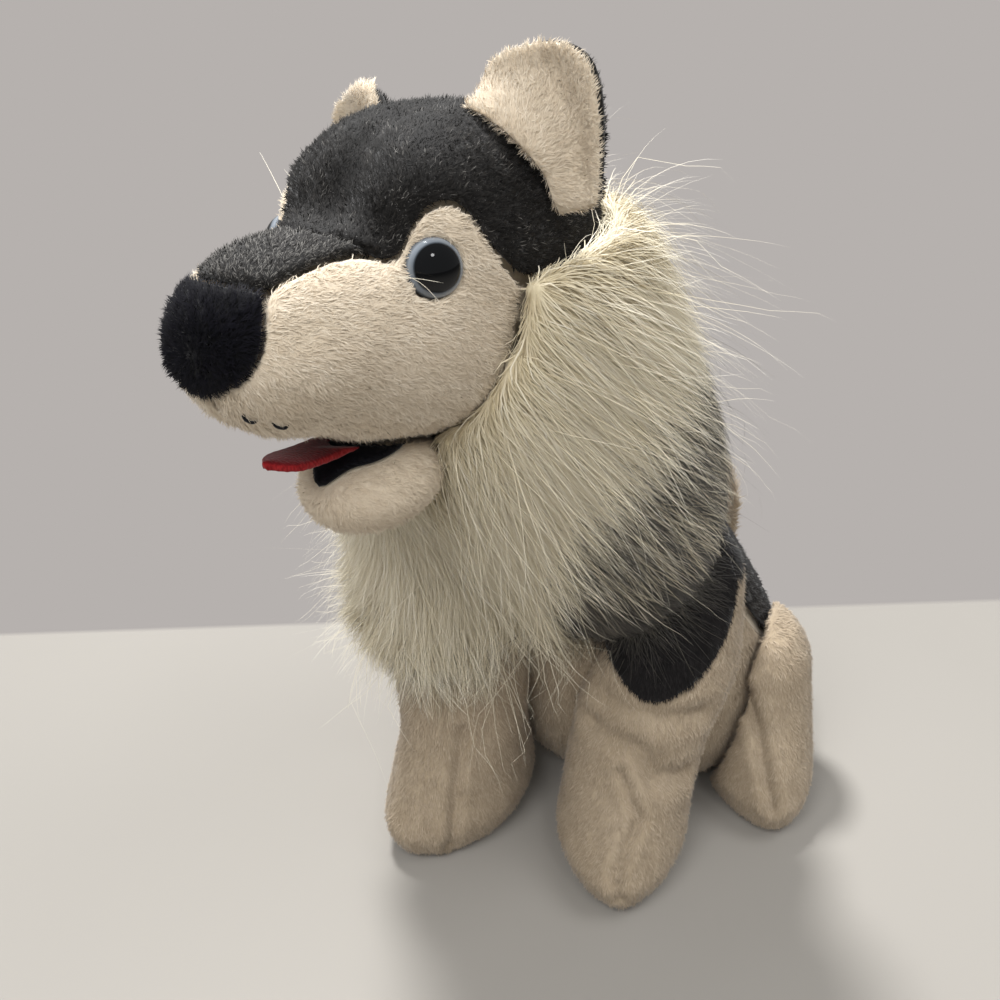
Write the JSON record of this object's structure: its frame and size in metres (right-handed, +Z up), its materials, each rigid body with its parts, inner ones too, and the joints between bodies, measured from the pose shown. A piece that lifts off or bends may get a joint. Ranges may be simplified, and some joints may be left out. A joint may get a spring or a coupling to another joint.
{
  "type": "plush husky",
  "caption": "Sitting plush dog with a long-haired ruff, grey mask and back, cream face and legs, glossy eyes and a felt tongue.",
  "frame": {"origin": "on the floor, under the middle of the toy's bounding box", "axes": "+Z up, the dog looks along -Y, its own left side is +X"},
  "size_m": [0.2002, 0.3186, 0.3317],
  "materials": {
    "cream_pile": "short matt pile",
    "grey_pile": "short pile with a silver fleck",
    "long_pile": "long soft pile, grey over the shoulders",
    "black_pile": "short matt pile",
    "red_felt": "matt felt",
    "stuffing": "matt polyester fibre",
    "eye_plastic": "polished",
    "washer_plastic": "as moulded"
  },
  "bodies": {
    "root": {"head_stuffing": "stuffing", "muzzle_stripe": "grey_pile", "nose": "black_pile", "mask_panel": "grey_pile", "face_panel_left": "cream_pile", "face_panel_right": "cream_pile", "eye_left": "eye_plastic", "eye_right": "eye_plastic", "eye_washer_left": "washer_plastic", "eye_washer_right": "washer_plastic", "ear_front_left": "cream_pile", "ear_front_right": "cream_pile", "ear_back_left": "grey_pile", "ear_back_right": "grey_pile", "lower_jaw": "cream_pile", "mouth_lining": "black_pile", "tongue": "red_felt", "torso_stuffing": "stuffing", "back_panel": "grey_pile", "belly_panel": "cream_pile", "seat_panel": "cream_pile", "front_leg_left": "cream_pile", "front_leg_right": "cream_pile", "shoulder_patch_left": "grey_pile", "shoulder_patch_right": "grey_pile", "hind_leg_left": "cream_pile", "hind_leg_right": "cream_pile", "tail": "cream_pile", "ruff": "long_pile"}
  },
  "joints": []
}
